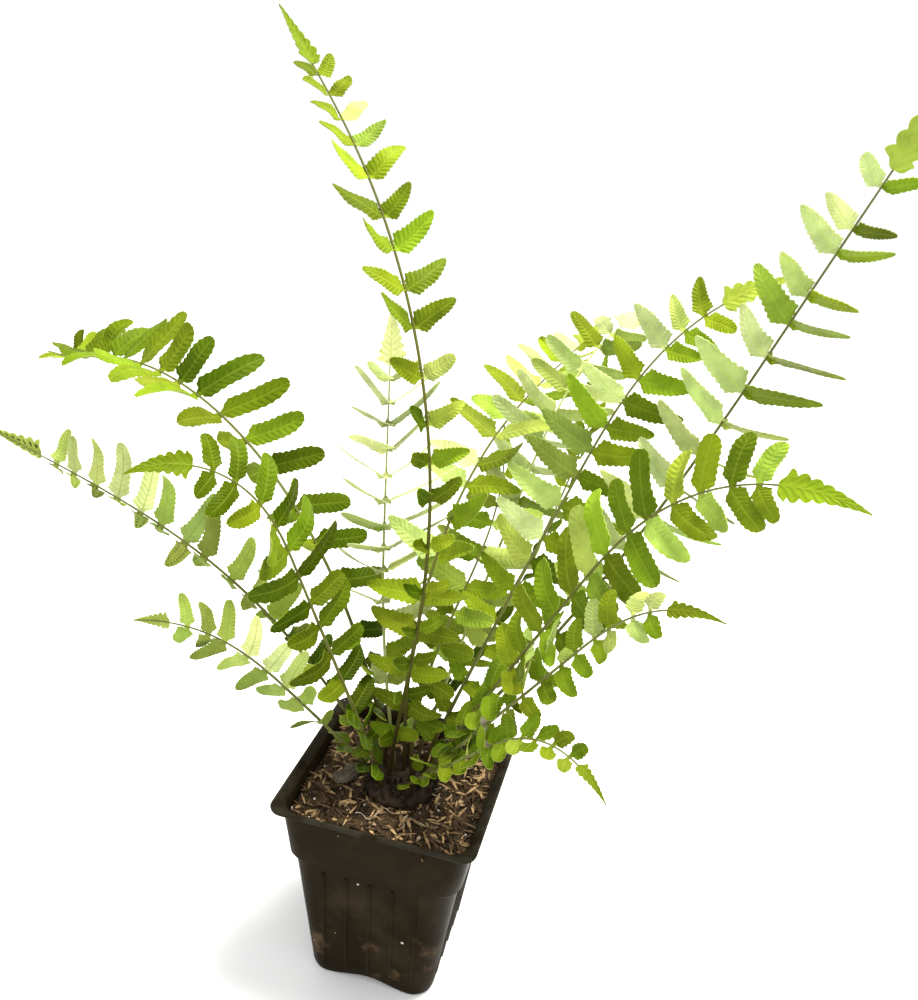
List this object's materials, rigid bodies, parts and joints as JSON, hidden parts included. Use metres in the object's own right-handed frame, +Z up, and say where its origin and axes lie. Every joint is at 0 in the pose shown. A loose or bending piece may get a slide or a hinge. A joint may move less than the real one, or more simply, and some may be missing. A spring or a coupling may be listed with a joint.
{
  "type": "potted tokyo wood fern",
  "caption": "Wood fern with arching feather-cut fronds, growing from a scaly crown in a small square nursery pot of soil.",
  "frame": {"origin": "centre of the underside of the pot's floor, on the surface that the pot stands on", "axes": "+Z up through the pot's middle; the pot's front, the side nearest the viewer in the picture, looks to -Y; +X to the viewer's right"},
  "size_m": [0.4425, 0.3042, 0.4088],
  "materials": {
    "pot_plastic": "matt black plastic",
    "soil_mix": "crumbly dark potting mix",
    "crown_scales": "papery brown scales",
    "label_card": "dull pale plastic",
    "dry_leaf": "dry and papery",
    "leaf_green": "soft satin leaf",
    "leaf_pale": "soft satin young leaf",
    "leaf_dark": "satin older leaf"
  },
  "bodies": {
    "root": {"pot": "pot_plastic", "soil": "soil_mix", "crown": "crown_scales", "plant_label": "label_card", "dried_leaf": "dry_leaf", "frond_01_tall_left": "leaf_green", "frond_02_tall_right": "leaf_green", "frond_03_centre_right": "leaf_green", "frond_04_right_arch": "leaf_green", "frond_05_right_small": "leaf_green", "frond_06_low_right": "leaf_green", "frond_07_left_top": "leaf_green", "frond_08_leftmost": "leaf_green", "frond_09_left_mid": "leaf_green", "frond_10_low_left": "leaf_dark", "frond_11_back_pale": "leaf_pale", "frond_12_back_right": "leaf_pale", "frond_13_centre_arch": "leaf_green", "frond_14_centre": "leaf_green", "frond_15_back_dark": "leaf_dark"}
  },
  "joints": []
}
